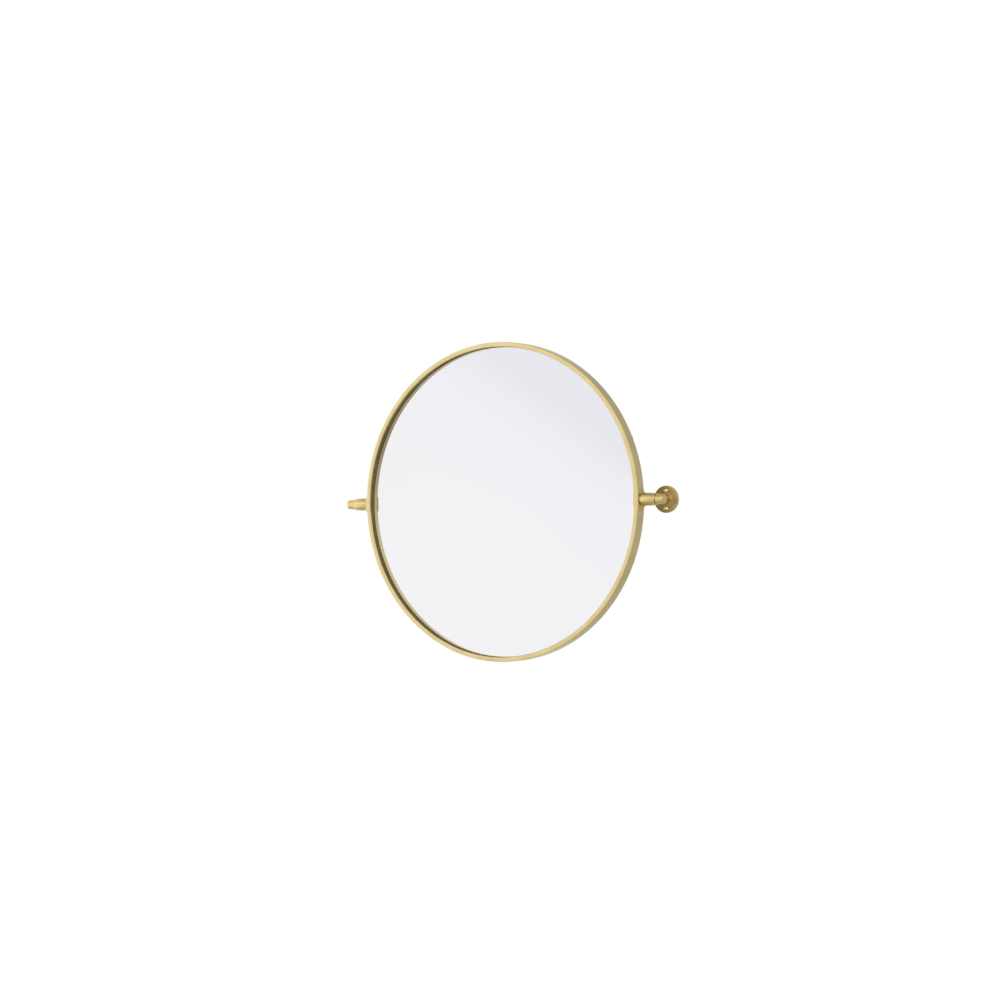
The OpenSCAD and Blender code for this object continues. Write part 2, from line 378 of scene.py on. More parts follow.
@dataclass(frozen=True)
class Spindle:
    """A spindle that turns pieces and drills holes in them.

    Attributes:
        centre: A point on the axis, from which places along it are counted.
        axis: Direction of the axis.
        spoke: Direction that a section's radius is laid out in, square to the axis.
    """

    centre: Vector
    axis: Vector
    spoke: Vector

    @classmethod
    def into_wall(cls, x: float, z: float, spoke: Vector = UP) -> Spindle:
        """Set up a spindle whose axis runs into the wall, with places along it counted from the wall.

        Args:
            x: Sideways place of the axis.
            z: Upward place of the axis.
            spoke: Direction that a section's radius is laid out in.

        Returns:
            The spindle.
        """
        return cls(Vector((x, 0, z)), INTO_WALL, spoke)

    def turn(self, name: str, outline: Outline, steps: int) -> bpy.types.Object:
        """Turn an outline right round the axis.

        Args:
            name: The new piece's name.
            outline: Points of the section, which closes on itself or starts and ends on the axis.
            steps: Number of steps in the full turn.

        Returns:
            The turned solid, its object at the origin.
        """
        points = [self.centre + self.spoke * radius + self.axis * along for radius, along in outline]
        piece = start_point(name, points[0])
        for here, there in pairwise(points):
            bpy.ops.mesh.extrude_region_move(TRANSFORM_OT_translate={"value": there - here})
        bpy.ops.mesh.select_all(action="SELECT")
        bpy.ops.mesh.spin(steps=steps, angle=math.tau, center=self.centre, axis=self.axis)
        bpy.ops.object.mode_set(mode="OBJECT")
        close_seams(piece)
        return piece

    def bore(self, piece: bpy.types.Object, outline: Outline, steps: int) -> None:
        """Cut a hole of the outline's shape into a piece.

        Args:
            piece: The piece to drill.
            outline: Half section of the hole, from the axis out and back to it.
            steps: Number of steps round the hole.
        """
        cut(piece, self.turn("cutter", outline, steps))


# Finishes


def linear(hex_code: str) -> Colour:
    """Turn an sRGB hex colour into the linear colour that a shader reads.

    Args:
        hex_code: The colour, as a hash sign and six digits.

    Returns:
        Red, green, blue and an alpha of 1.
    """
    levels = [int(hex_code[i : i + 2], 16) / 255 for i in (1, 3, 5)]
    red, green, blue = (v / 12.92 if v <= 0.04045 else ((v + 0.055) / 1.055) ** 2.4 for v in levels)
    return red, green, blue, 1.0


def add_node(
    tree: bpy.types.NodeTree,
    kind: str,
    inputs: Mapping[str | int, Any] | None = None,
    **settings: Any,
) -> bpy.types.Node:
    """Add a node with its settings and its links.

    Args:
        tree: The node tree to add to.
        kind: Blender's name for the node's type.
        inputs: A value, or another node's output, for each input socket by name or number.
        **settings: The node's properties and their values.

    Returns:
        The new node.
    """
    node = tree.nodes.new(kind)
    for name, value in settings.items():
        setattr(node, name, value)
    for socket, value in (inputs or {}).items():
        if isinstance(value, bpy.types.NodeSocket):
            tree.links.new(value, node.inputs[socket])
        else:
            node.inputs[socket].default_value = value
    return node


def set_stops(node: bpy.types.Node, stops: Iterable[tuple[float, Colour]]) -> None:
    """Set the stops of a colour ramp node.

    Args:
        node: The colour ramp node.
        stops: A place from 0 to 1 and a linear colour for each stop, from the low end to the high end.
    """
    elements = node.color_ramp.elements
    for i, (place, colour) in enumerate(stops):
        element = elements[i] if i < len(elements) else elements.new(place)
        element.position = place
        element.color = colour


def new_material(name: str) -> tuple[bpy.types.Material, bpy.types.NodeTree, bpy.types.NodeSocket]:
    """Start a node material.

    Args:
        name: The material's name.

    Returns:
        The material, its node tree and the Object coordinates that its patterns read.
    """
    material = bpy.data.materials.new(name)
    material.use_nodes = True
    tree = material.node_tree
    tree.nodes.clear()
    coordinates = add_node(tree, "ShaderNodeTexCoord").outputs["Object"]
    return material, tree, coordinates


def close_material(tree: bpy.types.NodeTree, inputs: Mapping[str, Any]) -> None:
    """End a material with a Principled shader that reads the given inputs.

    Args:
        tree: The material's node tree.
        inputs: A value, or another node's output, for each of the shader's inputs by name.
    """
    shader = add_node(tree, "ShaderNodeBsdfPrincipled", inputs)
    add_node(tree, "ShaderNodeOutputMaterial", {"Surface": shader.outputs["BSDF"]})


@dataclass(frozen=True)
class SatinBrass:
    """Yellow brass, brushed with a fine abrasive and clear lacquered.

    The brushing leaves hair lines that spread the highlight, and the lacquer puts a thin clear gloss over
    them. The metal under it is a little uneven in tone, as cast and turned brass is.

    Attributes:
        name: The material's name.
        grain: Which way the hair lines run.
        centre: A point on the axis that the lines circle about, in the frame.
        pale: Colour of the freshly brushed metal.
        deep: Colour where the lacquer lies thicker.
        hair: Width of a hair line. Real ones are about 0.1 mm, drawn wider here so that they show.
        stretch: How many times longer than wide a straight hair line is.
        sweep: Angle over which a circling hair line changes, in radians.
        mottle: Size of the patches of uneven tone.
        roughness: Mean roughness of the brushed metal.
        hair_roughness: How far the hair lines change it, up and down.
        mottle_roughness: How far the patches change it, up and down.
        streaks: How strongly the hair lines show in the colour.
        relief: Strength of the hair lines' bump.
        depth: Their depth.
    """

    name: str
    grain: Grain
    centre: Vector = Vector((0, 0, 0))
    pale: str = "#E1CF9A"
    deep: str = "#D9C488"
    hair: float = 0.35 * MM
    stretch: float = 60.0
    sweep: float = 1 / 3
    mottle: float = 1 / 24
    roughness: float = 0.3
    hair_roughness: float = 0.04
    mottle_roughness: float = 0.03
    streaks: float = 0.03
    relief: float = 0.08
    depth: float = 0.02 * MM

    def lines(self, tree: bpy.types.NodeTree, coordinates: bpy.types.NodeSocket) -> bpy.types.NodeSocket:
        """Draw the hair lines.

        Args:
            tree: The material's node tree.
            coordinates: The Object coordinates.

        Returns:
            A value from 0 to 1 that changes fast across the lines and slowly along them.
        """
        # The two axes across the grain's own axis, and that axis
        axes = {
            Grain.ROUND_THE_MIRROR: "XZY",
            Grain.ROUND_THE_TILT_AXIS: "YZX",
            Grain.ROUND_THE_POST: "XZY",
            Grain.UPRIGHT: "XYZ",
        }[self.grain]
        parts = add_node(tree, "ShaderNodeSeparateXYZ", {0: coordinates}).outputs
        first, second, along = (parts[axis] for axis in axes)
        if self.grain is Grain.ROUND_THE_POST:
            # Both brackets share one finish, so the post's axis is found from the distance to the middle
            first = add_node(tree, "ShaderNodeMath", {0: first}, operation="ABSOLUTE").outputs[0]
        flat = add_node(tree, "ShaderNodeCombineXYZ", {0: first, 1: second}).outputs[0]
        middle = [self.centre["XYZ".index(axis)] for axis in axes[:2]]
        arm = add_node(
            tree, "ShaderNodeVectorMath", {0: flat, 1: (*middle, 0.0)}, operation="SUBTRACT"
        ).outputs[0]
        fine = 1 / self.hair
        if self.grain is Grain.UPRIGHT:
            pace = fine / self.stretch
            place = add_node(
                tree, "ShaderNodeVectorMath", {0: arm, "Scale": fine}, operation="SCALE"
            ).outputs[0]
        else:
            pace = fine
            reach = add_node(tree, "ShaderNodeVectorMath", {0: arm}, operation="LENGTH").outputs["Value"]
            turn = add_node(tree, "ShaderNodeVectorMath", {0: arm}, operation="NORMALIZE").outputs[0]
            turned = add_node(
                tree, "ShaderNodeVectorMath", {0: turn, "Scale": 1 / self.sweep}, operation="SCALE"
            ).outputs[0]
            out = add_node(tree, "ShaderNodeMath", {0: reach, 1: fine}, operation="MULTIPLY").outputs[0]
            lift = add_node(tree, "ShaderNodeCombineXYZ", {2: out}).outputs[0]
            place = add_node(
                tree, "ShaderNodeVectorMath", {0: turned, 1: lift}, operation="ADD"
            ).outputs[0]
        slow = add_node(tree, "ShaderNodeMath", {0: along, 1: pace}, operation="MULTIPLY").outputs[0]
        noise = add_node(
            tree,
            "ShaderNodeTexNoise",
            {"Vector": place, "W": slow, "Scale": 1.0, "Detail": 3.0, "Roughness": 0.6},
            noise_dimensions="4D",
        )
        return noise.outputs["Fac"]

    def material(self) -> bpy.types.Material:
        """Build the material.

        Returns:
            The material.
        """
        material, tree, coordinates = new_material(self.name)
        lines = self.lines(tree, coordinates)
        mottle = add_node(
            tree,
            "ShaderNodeTexNoise",
            {"Vector": coordinates, "Scale": 1 / self.mottle, "Detail": 3.0, "Roughness": 0.5},
        ).outputs["Fac"]
        tone = add_node(tree, "ShaderNodeValToRGB", {"Fac": mottle})
        set_stops(tone, [(0.35, linear(self.deep)), (0.65, linear(self.pale))])
        streaked = add_node(
            tree,
            "ShaderNodeMix",
            {"Factor": self.streaks, 6: tone.outputs["Color"], 7: lines},
            data_type="RGBA",
            blend_type="OVERLAY",
        ).outputs[2]
        brushed = add_node(
            tree,
            "ShaderNodeMapRange",
            {
                "Value": lines,
                "From Min": NOISE_LOW,
                "From Max": NOISE_HIGH,
                "To Min": self.roughness - self.hair_roughness,
                "To Max": self.roughness + self.hair_roughness,
            },
        ).outputs[0]
        uneven = add_node(
            tree,
            "ShaderNodeMapRange",
            {
                "Value": mottle,
                "From Min": NOISE_LOW,
                "From Max": NOISE_HIGH,
                "To Min": -self.mottle_roughness,
                "To Max": self.mottle_roughness,
            },
        ).outputs[0]
        roughness = add_node(tree, "ShaderNodeMath", {0: brushed, 1: uneven}, operation="ADD").outputs[0]
        bump = add_node(
            tree, "ShaderNodeBump", {"Height": lines, "Strength": self.relief, "Distance": self.depth}
        ).outputs["Normal"]
        close_material(
            tree,
            {
                "Base Color": streaked,
                "Metallic": 1.0,
                "Roughness": roughness,
                "Normal": bump,
                "Coat Weight": 0.25,
                "Coat Roughness": 0.2,
            },
        )
        return material


@dataclass(frozen=True)
class Silvering:
    """Silver laid on the glass: a true mirror, a little cool and a little darker than white.

    Attributes:
        name: The material's name.
        bright: Colour of its brighter patches.
        cool: Colour of its cooler patches.
        patch: Size of the patches.
    """

    name: str = "silvered_mirror"
    bright: str = "#F3F3F5"
    cool: str = "#F1F1F4"
    patch: float = 1 / 2.2

    def material(self) -> bpy.types.Material:
        """Build the material.

        Returns:
            The material.
        """
        material, tree, coordinates = new_material(self.name)
        patches = add_node(
            tree, "ShaderNodeTexNoise", {"Vector": coordinates, "Scale": 1 / self.patch, "Detail": 1.0}
        ).outputs["Fac"]
        tone = add_node(tree, "ShaderNodeValToRGB", {"Fac": patches})
        set_stops(tone, [(NOISE_LOW, linear(self.cool)), (NOISE_HIGH, linear(self.bright))])
        close_material(tree, {"Base Color": tone.outputs["Color"], "Metallic": 1.0, "Roughness": 0.0})
        return material


@dataclass(frozen=True)
class PlainMetal:
    """A small steel or brass part, plated or turned, with faint handling marks.

    Attributes:
        name: The material's name.
        light: Colour of the bright metal.
        dull: Colour of the dulled metal.
        roughness: Mean roughness.
        mark: Size of the marks, as a bag of screws leaves them.
        wear: How far the marks change the roughness, up and down.
        depth: Depth of the marks.
    """

    name: str
    light: str
    dull: str
    roughness: float
    mark: float = 0.8 * MM
    wear: float = 0.08
    depth: float = 0.02 * MM

    def material(self) -> bpy.types.Material:
        """Build the material.

        Returns:
            The material.
        """
        material, tree, coordinates = new_material(self.name)
        marks = add_node(
            tree, "ShaderNodeTexNoise", {"Vector": coordinates, "Scale": 1 / self.mark, "Detail": 4.0}
        ).outputs["Fac"]
        tone = add_node(tree, "ShaderNodeValToRGB", {"Fac": marks})
        set_stops(tone, [(0.35, linear(self.dull)), (0.6, linear(self.light))])
        roughness = add_node(
            tree,
            "ShaderNodeMapRange",
            {
                "Value": marks,
                "From Min": NOISE_LOW,
                "From Max": NOISE_HIGH,
                "To Min": self.roughness + self.wear,
                "To Max": self.roughness - self.wear,
            },
        ).outputs[0]
        bump = add_node(
            tree, "ShaderNodeBump", {"Height": marks, "Strength": 0.2, "Distance": self.depth}
        ).outputs["Normal"]
        colour = tone.outputs["Color"]
        close_material(
            tree, {"Base Color": colour, "Metallic": 1.0, "Roughness": roughness, "Normal": bump}
        )
        return material


@dataclass(frozen=True)
class Hardboard:
    """Hot-pressed wood fibre board in its natural tan: matt, with short lighter fibres in it.

    Attributes:
        name: The material's name.
        fibre: Length of a fibre.
        stain: Size of the patches of uneven tone.
        stain_share: How much the patches add to the fibres' pattern.
        dark: Colour of the board.
        pale: Colour of the lightest fibres.
        roughness: Roughness of the pressed surface.
        depth: How far the fibres stand up.
    """

    name: str = "natural_hardboard"
    fibre: float = 2.5 * MM
    stain: float = 1 / 9
    stain_share: float = 0.15
    dark: str = "#9C8A68"
    pale: str = "#BFAF8C"
    roughness: float = 0.75
    depth: float = 0.1 * MM

    def material(self) -> bpy.types.Material:
        """Build the material.

        Returns:
            The material.
        """
        material, tree, coordinates = new_material(self.name)
        fibres = add_node(
            tree,
            "ShaderNodeTexNoise",
            {
                "Vector": coordinates,
                "Scale": 1 / self.fibre,
                "Detail": 6.0,
                "Roughness": 0.7,
                "Distortion": 2.5,
            },
        ).outputs["Fac"]
        stain = add_node(
            tree, "ShaderNodeTexNoise", {"Vector": coordinates, "Scale": 1 / self.stain, "Detail": 2.0}
        ).outputs["Fac"]
        mixed = add_node(
            tree, "ShaderNodeMath", {0: stain, 1: self.stain_share, 2: fibres}, operation="MULTIPLY_ADD"
        ).outputs[0]
        tone = add_node(tree, "ShaderNodeValToRGB", {"Fac": mixed})
        set_stops(tone, [(0.42, linear(self.dark)), (0.74, linear(self.pale))])
        bump = add_node(
            tree, "ShaderNodeBump", {"Height": fibres, "Strength": 0.35, "Distance": self.depth}
        ).outputs["Normal"]
        colour = tone.outputs["Color"]
        close_material(tree, {"Base Color": colour, "Roughness": self.roughness, "Normal": bump})
        return material


@dataclass(frozen=True)
class Plastic:
    """A soft plastic, such as foam tape or moulded nylon, with a fine grain.

    Attributes:
        name: The material's name.
        light: Colour of the raised grain.
        dark: Colour of the pits.
        grain: Size of the grain.
        roughness: Roughness of the surface.
        depth: Depth of the grain.
    """

    name: str
    light: str
    dark: str
    grain: float
    roughness: float
    depth: float

    def material(self) -> bpy.types.Material:
        """Build the material.

        Returns:
            The material.
        """
        material, tree, coordinates = new_material(self.name)
        pits = add_node(
            tree, "ShaderNodeTexVoronoi", {"Vector": coordinates, "Scale": 1 / self.grain}
        ).outputs["Distance"]
        tone = add_node(tree, "ShaderNodeValToRGB", {"Fac": pits})
        set_stops(tone, [(0.1, linear(self.dark)), (0.7, linear(self.light))])
        bump = add_node(
            tree, "ShaderNodeBump", {"Height": pits, "Strength": 0.3, "Distance": self.depth}
        ).outputs["Normal"]
        colour = tone.outputs["Color"]
        close_material(tree, {"Base Color": colour, "Roughness": self.roughness, "Normal": bump})
        return material


@dataclass
class Finishes:
    """All the finishes of the mirror, made once.

    Attributes:
        ring: Brass of the ring.
        saddle: Brass of the saddles.
        pivot: Brass of the hubs and knobs.
        bracket: Brass of the flanges and posts.
        screw_brass: Brass of the screws in the saddles.
        silver: Silvering of the glass.
        board: Board behind the glass.
        foam: Foam of the gasket.
        zinc: Plated steel of the studs, clips, clip screws and post screws.
        spring: Steel of the spring washers.
        nylon: Nylon of the bushes and friction washers.
    """

    ring: bpy.types.Material
    saddle: bpy.types.Material
    pivot: bpy.types.Material
    bracket: bpy.types.Material
    screw_brass: bpy.types.Material
    silver: bpy.types.Material
    board: bpy.types.Material
    foam: bpy.types.Material
    zinc: bpy.types.Material
    spring: bpy.types.Material
    nylon: bpy.types.Material

    @classmethod
    def mix(cls, tilt_centre: Vector, post_centre: Vector) -> Finishes:
        """Make the finishes.

        Args:
            tilt_centre: A point on the tilt axis.
            post_centre: A point on the right-hand post's axis.

        Returns:
            The finishes, ready to dress the pieces.
        """
        return cls(
            ring=SatinBrass("satin_brass_ring", Grain.ROUND_THE_MIRROR).material(),
            saddle=SatinBrass("satin_brass_saddle", Grain.UPRIGHT).material(),
            pivot=SatinBrass(
                "satin_brass_pivot", Grain.ROUND_THE_TILT_AXIS, tilt_centre, pale="#E2CD8E", deep="#DAC27C"
            ).material(),
            bracket=SatinBrass(
                "satin_brass_bracket", Grain.ROUND_THE_POST, post_centre, pale="#DCC894", deep="#D2BC82"
            ).material(),
            screw_brass=PlainMetal("turned_brass_screw", "#D8BE80", "#B89A5C", 0.34).material(),
            silver=Silvering().material(),
            board=Hardboard().material(),
            foam=Plastic("black_foam_tape", "#1C1C1C", "#0A0A0A", 0.5 * MM, 0.9, 0.1 * MM).material(),
            zinc=PlainMetal("zinc_plated_steel", "#C9CCD0", "#9EA3A8", 0.34).material(),
            spring=PlainMetal("spring_steel", "#8C8F93", "#65686C", 0.4).material(),
            nylon=Plastic("moulded_nylon", "#E8E4D8", "#DAD5C6", 0.6 * MM, 0.45, 0.02 * MM).material(),
        )


# Dressing and fitting


def smooth(piece: bpy.types.Object, crease: float = 28.0) -> None:
    """Shade a piece smooth up to a crease angle and let its broad faces rule its normals.

    Args:
        piece: The finished piece.
        crease: Sharpest angle between two faces that still shade as one, in degrees.
    """
    pick(piece)
    bpy.ops.object.shade_smooth_by_angle(angle=math.radians(crease))
    apply_modifier(piece, "WEIGHTED_NORMAL", keep_sharp=True, weight=BROAD_FACE_WEIGHT)


def dress(piece: bpy.types.Object, material: bpy.types.Material) -> None:
    """Give a whole piece one finish.

    Args:
        piece: The piece, new or a node of the frame.
        material: Its finish.
    """
    if not piece.material_slots:
        piece.data.materials.append(material)
    for holder in piece.material_slots:
        holder.material = material


def dress_nodes(
    nodes: Mapping[str, bpy.types.Object], wanted: Mapping[str, bpy.types.Material]
) -> list[bpy.types.Object]:
    """Dress nodes of the frame whose shapes stay as they are.

    Args:
        nodes: The frame's nodes by name.
        wanted: A finish for the name of each node to dress.

    Returns:
        The nodes dressed.
    """
    for name, material in wanted.items():
        dress(nodes[name], material)
    return [nodes[name] for name in wanted]


def fit(piece: bpy.types.Object, material: bpy.types.Material, body: str, node: str) -> None:
    """Smooth and dress a new piece, let it ride on its body and stand for its node.

    Args:
        piece: The finished piece.
        material: Its finish.
        body: The body that it rides on.
        node: The frame's node that it stands for.
    """
    smooth(piece)
    dress(piece, material)
    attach(piece, body)
    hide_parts(node)


def fit_brass_pair(
    right: bpy.types.Object, material: bpy.types.Material, body: str, node: str
) -> list[bpy.types.Object]:
    """Copy a right-hand brass piece to the left and fit both.

    Args:
        right: The right-hand piece.
        material: Their finish.
        body: The body that they ride on, with {side} where it has the side's word.
        node: Name of their nodes without the side's word.

    Returns:
        The right-hand and the left-hand piece.
    """
    left = mirrored_copy(right)
    for side, piece in ((Side.RIGHT, right), (Side.LEFT, left)):
        fit(piece, material, body.format(side=side.value), f"{side.value}_{node}")
    return [right, left]


# Sub-assemblies


@dataclass
class FrameRing:
    """The brass ring, a deep L section turned about the middle of the mirror.

    Attributes:
        face_width: Width of the face.
        lip_width: How far the face laps over the glass.
        edge_rounding: Radius of the outer edges.
        inner_edge_rounding: Radius of the face's inner edge.
        pocket_rounding: Radius of the back edge of the pocket behind the lip.
        lip_rounding: Radius of the lip's edge at the glass.
        steps: Steps in a full turn.
    """

    face_width: float = 9.0 * MM
    lip_width: float = 2.5 * MM
    edge_rounding: float = 1.2 * MM
    inner_edge_rounding: float = 2.0 * MM
    pocket_rounding: float = 0.4 * MM
    lip_rounding: float = 0.2 * MM
    steps: int = 384

    @property
    def outer(self) -> float:
        """Radius of the outer wall."""
        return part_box("mirror_frame")[1].x

    @property
    def opening(self) -> float:
        """Radius of the opening in the face."""
        return self.outer - self.face_width

    @property
    def pocket(self) -> float:
        """Radius of the pocket behind the lip, which holds the glass and the board."""
        return self.opening + self.lip_width

    @property
    def spindle(self) -> Spindle:
        """The ring's own axis, with places along it counted from the wall."""
        return Spindle.into_wall(0.0, 0.0, spoke=RIGHTWARD)

    def build(self, finishes: Finishes) -> list[bpy.types.Object]:
        """Turn the ring between the frame's own front and back.

        Args:
            finishes: The finishes to dress it with.

        Returns:
            The pieces made.
        """
        low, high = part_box("mirror_frame")
        pocket_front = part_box("glass_gasket")[0].y
        outline = section(
            [
                Corner(self.opening, low.y, self.inner_edge_rounding),
                Corner(self.outer, low.y, self.edge_rounding),
                Corner(self.outer, high.y, self.edge_rounding),
                Corner(self.pocket, high.y, self.pocket_rounding),
                Corner(self.pocket, pocket_front),
                Corner(self.opening, pocket_front, self.lip_rounding),
            ],
            closed=True,
        )
        ring = self.spindle.turn("brass_ring", outline, self.steps)
        fit(ring, finishes.ring, "mirror", "mirror_frame")
        return [ring]


@dataclass
class GlassPack:
    """Mirror glass, foam gasket and backing board, plain discs that stay as the frame has them."""

    def build(self, finishes: Finishes, nodes: Mapping[str, bpy.types.Object]) -> list[bpy.types.Object]:
        """Dress the discs.

        Args:
            finishes: The finishes to dress them with.
            nodes: The frame's nodes by name.

        Returns:
            The pieces dressed.
        """
        wanted = {
            "mirror_glass": finishes.silver,
            "glass_gasket": finishes.foam,
            "backing_board": finishes.board,
        }
        return dress_nodes(nodes, wanted)


@dataclass
class Saddle:
    """The brass saddle that grips the ring at a pivot: a front leg, an outer web and a back leg.

    Attributes:
        corner_rounding: Radius of the upright edges.
        corner_steps: Steps in each of these roundings.
        edge_break: Width that the other edges are broken by.
        leg_overlap: How far the front leg reaches in past the ring's face.
        screw_radius: Radius of the screws in the back leg.
        screw_fit: Play round them.
        hole_steps: Steps round their holes.
    """

    corner_rounding: float = 1.0 * MM
    corner_steps: int = 6
    edge_break: float = 0.4 * MM
    leg_overlap: float = 1.0 * MM
    screw_radius: float = 1.5 * MM
    screw_fit: float = 0.05 * MM
    hole_steps: int = 48

    def drill_leg(self, saddle: bpy.types.Object, leg_front: float) -> None:
        """Drill the two countersunk holes in the right-hand back leg.

        Args:
            saddle: The right-hand saddle.
            leg_front: Place of the leg's front face, from the wall.
        """
        low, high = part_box("right_saddle_screws")
        head_radius = (high.x - low.x) / 2
        sink = head_radius - self.screw_radius
        hole, mouth = self.screw_radius + self.screw_fit, head_radius + self.screw_fit
        outline = [
            (0.0, leg_front - CUT_OVERRUN),
            (hole, leg_front - CUT_OVERRUN),
            (hole, high.y - sink),
            (mouth, high.y),
            (mouth, high.y + CUT_OVERRUN),
            (0.0, high.y + CUT_OVERRUN),
        ]
        for z in (low.z + head_radius, high.z - head_radius):
            Spindle.into_wall((low.x + high.x) / 2, z).bore(saddle, outline, self.hole_steps)

    def build(self, finishes: Finishes, ring: FrameRing) -> list[bpy.types.Object]:
        """Mill the right-hand saddle and copy it to the left.

        Args:
            finishes: The finishes to dress them with.
            ring: The ring that the saddles grip.

        Returns:
            The pieces made.
        """
        low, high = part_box("right_saddle")
        ring_low, ring_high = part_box("mirror_frame")
        inner_end = ring.opening - self.leg_overlap
        right = block("right_saddle_clamp", Vector((inner_end, low.y, low.z)), high)
        round_edges_along(right, UP, self.corner_rounding, self.corner_steps)
        for radius, start, end in (
            (ring.outer, ring_low.y, ring_high.y),
            (ring.opening, low.y - CUT_OVERRUN, ring_low.y + CUT_OVERRUN),
            (ring.pocket, ring_high.y - CUT_OVERRUN, high.y + CUT_OVERRUN),
        ):
            ring.spindle.bore(right, rod(radius, start, end), ring.steps)
        self.drill_leg(right, ring_high.y)
        break_edges(right, self.edge_break)
        return fit_brass_pair(right, finishes.saddle, "mirror", "saddle")


@dataclass
class Pivot:
    """Hub and knob on the tilt axis, each turned from bar.

    Attributes:
        centre: The point of the tilt axis in the middle of the mirror.
        hub_widest_radius: The hub's radius in the middle.
        hub_end_radius: Its radius at the ends.
        hub_bore: Radius of its bore.
        spring_pocket_radius: Radius of the pocket for the spring washer in its outer end.
        spring_pocket_depth: Depth of that pocket.
        bevel: Size of the bevels and roundings on the ends that meet.
        knob_base_radius: The knob's radius at the hub.
        knob_tip_radius: Its radius at the tip.
        knob_rim: Radius of the rounding round the tip.
        thread_radius: Radius of its threaded hole.
        thread_depth: Depth of that hole.
        swell_steps: Steps along the hub's swell.
        steps: Steps in a full turn.
    """

    centre: Vector
    hub_widest_radius: float = 12.0 * MM
    hub_end_radius: float = 10.9 * MM
    hub_bore: float = 6.0 * MM
    spring_pocket_radius: float = 8.1 * MM
    spring_pocket_depth: float = 1.25 * MM
    bevel: float = 0.5 * MM
    knob_base_radius: float = 9.5 * MM
    knob_tip_radius: float = 8.8 * MM
    knob_rim: float = 1.0 * MM
    thread_radius: float = 3.05 * MM
    thread_depth: float = 12.0 * MM
    swell_steps: int = 40
    steps: int = 128

    @property
    def spindle(self) -> Spindle:
        """The tilt axis, with places along it counted from the middle of the mirror."""
        return Spindle(self.centre, RIGHTWARD, UP)

    def swell(self, start: float, end: float) -> Outline:
        """Outline of the hub's barrel between two places along the axis, one arc with a bevel at each end.

        Args:
            start: Place of the hub's inner end.
            end: Place of its outer end.

        Returns:
            The outline's points.
        """
        half = (end - start) / 2
        rise = self.hub_widest_radius - self.hub_end_radius
        arc_radius = (half**2 + rise**2) / (2 * rise)
        points: Outline = [(self.hub_end_radius - self.bevel, start)]
        for step in range(self.swell_steps + 1):
            along = (half - self.bevel) * (2 * step / self.swell_steps - 1)
            drop = arc_radius - math.sqrt(arc_radius**2 - along**2)
            points.append((self.hub_widest_radius - drop, start + half + along))
        points.append((self.hub_end_radius - self.bevel, end))
        return points

    def hub(self) -> bpy.types.Object:
        """Turn the right-hand hub with its bore and its pocket for the spring washer.

        Returns:
            The hub.
        """
        low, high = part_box("right_hub")
        floor = high.x - self.spring_pocket_depth
        outline = [
            *self.swell(low.x, high.x),
            (self.spring_pocket_radius, high.x),
            (self.spring_pocket_radius, floor),
            (self.hub_bore, floor),
            (self.hub_bore, low.x),
        ]
        return self.spindle.turn("right_hub_barrel", [*outline, outline[0]], self.steps)

    def knob(self) -> bpy.types.Object:
        """Turn the right-hand knob with its taper, rounded rim and blind threaded hole.

        Returns:
            The knob.
        """
        low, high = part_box("right_knob")
        outline = section(
            [
                Corner(0.0, low.x + self.thread_depth),
                Corner(self.thread_radius, low.x + self.thread_depth),
                Corner(self.thread_radius, low.x),
                Corner(self.knob_base_radius, low.x, self.bevel),
                Corner(self.knob_tip_radius, high.x, self.knob_rim),
                Corner(0.0, high.x),
            ],
            closed=False,
        )
        return self.spindle.turn("right_knob_body", outline, self.steps)

    def build(self, finishes: Finishes) -> list[bpy.types.Object]:
        """Turn the right-hand hub and knob and copy them to the left.

        Args:
            finishes: The finishes to dress them with.

        Returns:
            The pieces made.
        """
        hubs = fit_brass_pair(self.hub(), finishes.pivot, "wall_brackets", "hub")
        knobs = fit_brass_pair(self.knob(), finishes.pivot, "{side}_knob", "knob")
        return hubs + knobs


